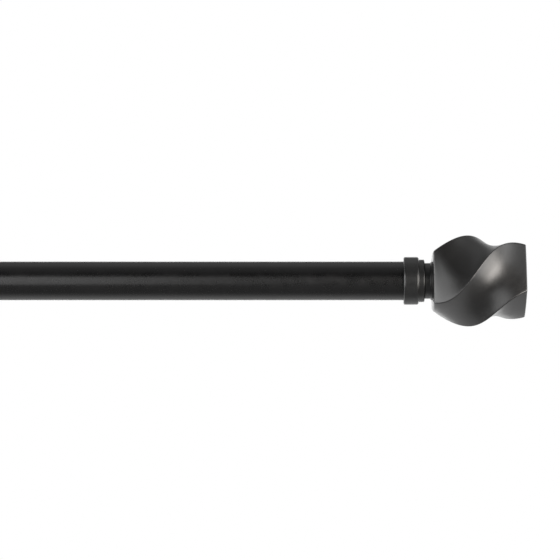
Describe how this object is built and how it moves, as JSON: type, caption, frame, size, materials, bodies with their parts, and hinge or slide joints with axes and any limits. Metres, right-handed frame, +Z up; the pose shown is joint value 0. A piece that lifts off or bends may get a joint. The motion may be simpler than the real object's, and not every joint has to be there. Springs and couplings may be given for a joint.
{
  "type": "curtain rod with brackets",
  "caption": "Telescoping round curtain rod with twisted square finials, carried by adjustable wall brackets with open-topped cups.",
  "frame": {"origin": "on the wall, midway between the brackets, at the height of the rod's axis", "axes": "+X along the rod towards the outer tube's finial, +Y into the wall, +Z up"},
  "size_m": [1.1078, 0.1194, 0.08],
  "materials": {
    "rod_tube": "satin black powder coat on thin welded steel tube",
    "end_fitting": "satin black powder coat on turned metal",
    "finial_casting": "cast resin sprayed satin charcoal black",
    "bracket_steel": "satin black powder coat on steel",
    "screw_knob": "satin black, fluted rim",
    "zinc_plated_steel": "bright zinc plate",
    "brass_insert": "plain turned brass",
    "black_nylon": "moulded black nylon",
    "natural_nylon": "moulded natural nylon"
  },
  "bodies": {
    "wall_brackets": {"right_wall_plate": "bracket_steel", "right_arm_socket": "bracket_steel", "left_wall_plate": "bracket_steel", "left_arm_socket": "bracket_steel"},
    "rod": {"outer_tube": "rod_tube", "mouth_ring": "black_nylon", "right_end_plug": "zinc_plated_steel", "right_end_collar": "end_fitting"},
    "inner_rod": {"inner_tube": "rod_tube", "guide_bush": "natural_nylon", "left_end_plug": "zinc_plated_steel", "left_reducer_sleeve": "black_nylon", "left_end_collar": "end_fitting"},
    "right_arm": {"right_arm": "bracket_steel", "right_cup": "bracket_steel"},
    "left_arm": {"left_arm": "bracket_steel", "left_cup": "bracket_steel"},
    "right_finial_washer": {"right_finial_washer": "natural_nylon"},
    "right_finial": {"right_finial_stud": "zinc_plated_steel", "right_finial_neck": "end_fitting", "right_finial_insert": "brass_insert", "right_finial": "finial_casting"},
    "right_cup_screw_pad": {"right_cup_screw_pad": "natural_nylon"},
    "right_cup_screw": {"right_cup_screw_shank": "zinc_plated_steel", "right_cup_screw_knob": "screw_knob"},
    "right_lock_screw_pad": {"right_lock_screw_pad": "natural_nylon"},
    "right_lock_screw": {"right_lock_screw_shank": "zinc_plated_steel", "right_lock_screw_knob": "screw_knob"},
    "left_finial_washer": {"left_finial_washer": "natural_nylon"},
    "left_finial": {"left_finial_stud": "zinc_plated_steel", "left_finial_neck": "end_fitting", "left_finial_insert": "brass_insert", "left_finial": "finial_casting"},
    "left_cup_screw_pad": {"left_cup_screw_pad": "natural_nylon"},
    "left_cup_screw": {"left_cup_screw_shank": "zinc_plated_steel", "left_cup_screw_knob": "screw_knob"},
    "left_lock_screw_pad": {"left_lock_screw_pad": "natural_nylon"},
    "left_lock_screw": {"left_lock_screw_shank": "zinc_plated_steel", "left_lock_screw_knob": "screw_knob"}
  },
  "joints": [
    {"name": "right_arm_slide", "type": "slide", "parent": "wall_brackets", "child": "right_arm", "axis": [0, -1, 0], "range_m": [0, 0.02]},
    {"name": "left_arm_slide", "type": "slide", "parent": "wall_brackets", "child": "left_arm", "axis": [0, -1, 0], "range_m": [0, 0.02]},
    {"name": "rod_lift", "type": "slide", "parent": "right_arm", "child": "rod", "axis": [0, 0, 1], "range_m": [0, 0.045]},
    {"name": "telescope", "type": "slide", "parent": "rod", "child": "inner_rod", "axis": [-1, 0, 0], "range_m": [-0.254, 0.254]},
    {"name": "right_finial_travel", "type": "slide", "parent": "rod", "child": "right_finial_washer", "axis": [1, 0, 0], "range_m": [0, 0.01385]},
    {"name": "right_finial_turn", "type": "hinge", "parent": "right_finial_washer", "child": "right_finial", "pos_m": [0.4926, -0.0889, 0], "axis": [1, 0, 0], "range_deg": [0, 3960]},
    {"name": "right_cup_screw_travel", "type": "slide", "parent": "right_arm", "child": "right_cup_screw_pad", "axis": [0, -1, 0], "range_m": [0, 0.0057]},
    {"name": "right_cup_screw_turn", "type": "hinge", "parent": "right_cup_screw_pad", "child": "right_cup_screw", "pos_m": [0.175, -0.11, 0], "axis": [0, -1, 0], "range_deg": [0, 2880]},
    {"name": "right_lock_screw_travel", "type": "slide", "parent": "wall_brackets", "child": "right_lock_screw_pad", "axis": [0, 0, -1], "range_m": [0, 0.0057]},
    {"name": "right_lock_screw_turn", "type": "hinge", "parent": "right_lock_screw_pad", "child": "right_lock_screw", "pos_m": [0.175, -0.033, -0.015], "axis": [0, 0, -1], "range_deg": [0, 2880]},
    {"name": "left_finial_travel", "type": "slide", "parent": "inner_rod", "child": "left_finial_washer", "axis": [-1, 0, 0], "range_m": [0, 0.01385]},
    {"name": "left_finial_turn", "type": "hinge", "parent": "left_finial_washer", "child": "left_finial", "pos_m": [-0.4926, -0.0889, 0], "axis": [-1, 0, 0], "range_deg": [0, 3960]},
    {"name": "left_cup_screw_travel", "type": "slide", "parent": "left_arm", "child": "left_cup_screw_pad", "axis": [0, -1, 0], "range_m": [0, 0.0057]},
    {"name": "left_cup_screw_turn", "type": "hinge", "parent": "left_cup_screw_pad", "child": "left_cup_screw", "pos_m": [-0.175, -0.11, 0], "axis": [0, -1, 0], "range_deg": [0, 2880]},
    {"name": "left_lock_screw_travel", "type": "slide", "parent": "wall_brackets", "child": "left_lock_screw_pad", "axis": [0, 0, -1], "range_m": [0, 0.0057]},
    {"name": "left_lock_screw_turn", "type": "hinge", "parent": "left_lock_screw_pad", "child": "left_lock_screw", "pos_m": [-0.175, -0.033, -0.015], "axis": [0, 0, -1], "range_deg": [0, 2880]}
  ],
  "couplings": [
    {"joint": "left_arm_slide", "follows": "right_arm_slide", "ratio": 1},
    {"joint": "right_finial_travel", "follows": "right_finial_turn", "m_per_rad": 0.00019894},
    {"joint": "right_cup_screw_travel", "follows": "right_cup_screw_turn", "m_per_rad": 0.00011141},
    {"joint": "right_lock_screw_travel", "follows": "right_lock_screw_turn", "m_per_rad": 0.00011141},
    {"joint": "left_finial_travel", "follows": "left_finial_turn", "m_per_rad": 0.00019894},
    {"joint": "left_cup_screw_travel", "follows": "left_cup_screw_turn", "m_per_rad": 0.00011141},
    {"joint": "left_lock_screw_travel", "follows": "left_lock_screw_turn", "m_per_rad": 0.00011141}
  ]
}
